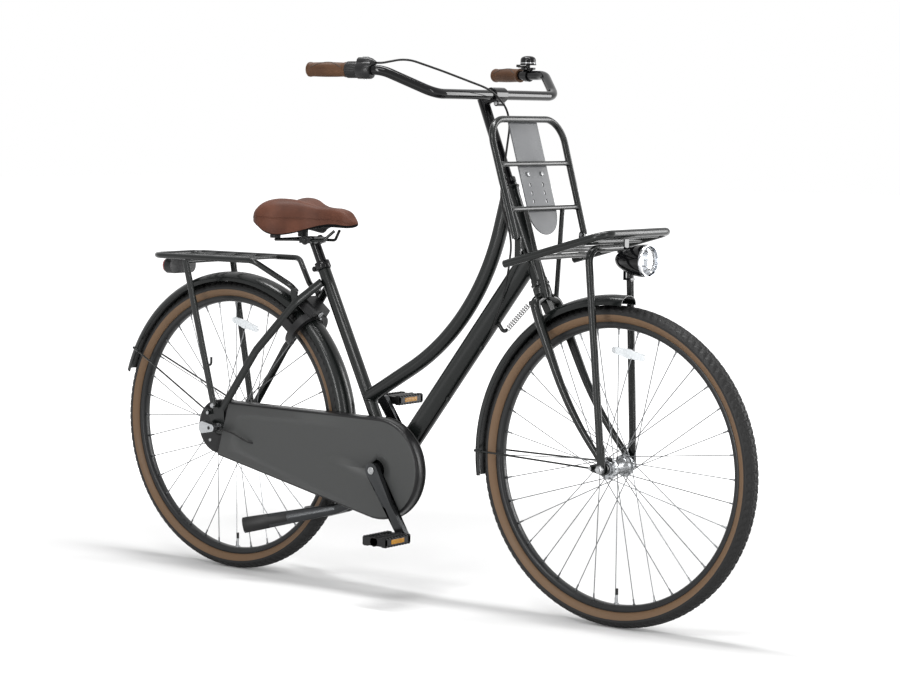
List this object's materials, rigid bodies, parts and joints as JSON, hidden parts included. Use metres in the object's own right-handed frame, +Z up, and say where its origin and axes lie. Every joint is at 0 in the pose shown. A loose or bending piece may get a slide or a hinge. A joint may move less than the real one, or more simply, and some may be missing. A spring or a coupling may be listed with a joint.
{
  "type": "dutch city bike",
  "caption": "Upright city bicycle with a curved low top tube, full chain case, ring lock, hub gear, folded two-legged stand, rear carrier and a large front carrier with headlight.",
  "frame": {"origin": "bottom centre of the bounding box: on the ground under the bicycle, midway along its length and width", "axes": "+X points the way the bicycle travels, along its length; +Y to the rider's left; +Z up"},
  "size_m": [1.8362, 0.7152, 1.257],
  "materials": {
    "frame_paint": "satin powder coat, black with a slight green cast",
    "gloss_paint": "glossy black enamel",
    "gunmetal": "dark grey, half gloss",
    "plate_paint": "light grey satin coat",
    "rim_black": "black anodised look, satin",
    "steel": "zinc-plated, dull",
    "chrome": "bright",
    "alloy": "satin silver",
    "tyre_rubber": "black tread, tan sidewall",
    "rubber": "matt black",
    "case_plastic": "dark grey, matt",
    "dark_plastic": "black, matt",
    "leather": "brown, smooth, stitched",
    "lens_clear": "clear"
  },
  "bodies": {
    "frame": {"head_tube": "frame_paint", "down_tube": "frame_paint", "top_tube": "frame_paint", "seat_tube": "frame_paint", "bottom_bracket_shell": "frame_paint", "bottom_bracket_cartridge": "steel", "right_chain_stay": "frame_paint", "left_chain_stay": "frame_paint", "right_seat_stay": "frame_paint", "left_seat_stay": "frame_paint", "coaster_brake_arm": "gloss_paint", "rear_fender": "frame_paint", "rear_carrier": "frame_paint", "rear_carrier_legs": "frame_paint", "rear_light": "dark_plastic", "ring_lock_case": "dark_plastic", "chain_case_cover": "case_plastic", "chain_case_back": "dark_plastic", "chain": "steel", "kickstand_bracket": "gunmetal", "seat_clamp": "gloss_paint", "rear_axle": "steel", "steering_spring": "gunmetal", "shift_cable": "rubber", "shift_box": "alloy"},
    "seat": {"seat_post": "chrome", "saddle_rails": "steel", "saddle": "leather"},
    "steering": {"fork": "frame_paint", "headset_top": "gloss_paint", "front_fender": "frame_paint", "stem": "gloss_paint", "handlebar": "gloss_paint", "right_grip": "leather", "left_grip": "leather", "shifter_housing": "dark_plastic", "bell": "dark_plastic", "front_carrier_back": "frame_paint", "front_carrier_platform": "frame_paint", "front_carrier_plate": "plate_paint", "front_carrier_legs": "frame_paint", "headlight_shell": "dark_plastic", "headlight_lens": "lens_clear", "front_axle": "steel"},
    "front_wheel": {"front_tyre": "tyre_rubber", "front_rim": "rim_black", "front_hub": "alloy"},
    "rear_wheel": {"rear_tyre": "tyre_rubber", "rear_rim": "rim_black", "rear_hub": "alloy"},
    "crankset": {"crank_axle": "steel", "right_crank": "gunmetal", "left_crank": "gunmetal"},
    "right_pedal_body": {"right_pedal": "dark_plastic"},
    "left_pedal_body": {"left_pedal": "dark_plastic"},
    "rear_driver": {"rear_sprocket": "steel"},
    "stand": {"kickstand": "gunmetal"},
    "lock_shackle": {"lock_bolt": "steel"},
    "twist_grip": {"shifter_twist_grip": "dark_plastic"},
    "bell_thumb_lever": {"bell_lever": "dark_plastic"}
  },
  "joints": [
    {"name": "seat_height", "type": "slide", "parent": "frame", "child": "seat", "axis": [-0.4302, 0, 0.9027], "range_m": [0, 0.1]},
    {"name": "steering_turn", "type": "hinge", "parent": "frame", "child": "steering", "pos_m": [0.51902, 0, 0.33529], "axis": [-0.3746, 0, 0.9272], "range_deg": [-60, 60], "stiffness_Nm_per_rad": 6, "deforming": ["shift_cable", "steering_spring"]},
    {"name": "front_wheel_spin", "type": "hinge", "parent": "steering", "child": "front_wheel", "pos_m": [0.56445, 0, 0.35365], "axis": [0, 1, 0], "continuous": true},
    {"name": "rear_wheel_spin", "type": "hinge", "parent": "frame", "child": "rear_wheel", "pos_m": [-0.55955, 0, 0.35365], "axis": [0, 1, 0], "continuous": true},
    {"name": "crank_spin", "type": "hinge", "parent": "frame", "child": "crankset", "pos_m": [-0.06055, 0, 0.295], "axis": [0, 1, 0], "continuous": true, "deforming": ["chain"]},
    {"name": "right_pedal_spin", "type": "hinge", "parent": "crankset", "child": "right_pedal_body", "pos_m": [0.03104, -0.137, 0.15178], "axis": [0, 1, 0], "continuous": true},
    {"name": "left_pedal_spin", "type": "hinge", "parent": "crankset", "child": "left_pedal_body", "pos_m": [-0.15214, 0.137, 0.43822], "axis": [0, 1, 0], "continuous": true},
    {"name": "rear_sprocket_spin", "type": "hinge", "parent": "frame", "child": "rear_driver", "pos_m": [-0.55955, 0, 0.35365], "axis": [0, 1, 0], "continuous": true},
    {"name": "stand_swing", "type": "hinge", "parent": "frame", "child": "stand", "pos_m": [-0.16455, 0, 0.25], "axis": [0, -1, 0], "range_deg": [0, 80]},
    {"name": "lock_turn", "type": "hinge", "parent": "frame", "child": "lock_shackle", "pos_m": [-0.33109, 0, 0.60004], "axis": [-0.7837, 0, 0.6212], "range_deg": [0, 110], "stiffness_Nm_per_rad": 0.15},
    {"name": "gear_twist", "type": "hinge", "parent": "steering", "child": "twist_grip", "pos_m": [-0.0293, -0.341, 1.21163], "axis": [0.9755, 0.2199, -0.0056], "range_deg": [-50, 30]},
    {"name": "bell_ring", "type": "hinge", "parent": "steering", "child": "bell_thumb_lever", "pos_m": [0.08581, 0.31505, 1.21096], "axis": [0, 0, 1], "range_deg": [0, 25], "stiffness_Nm_per_rad": 0.1}
  ],
  "couplings": [
    {"joint": "rear_sprocket_spin", "follows": "crank_spin", "ratio": 2}
  ]
}
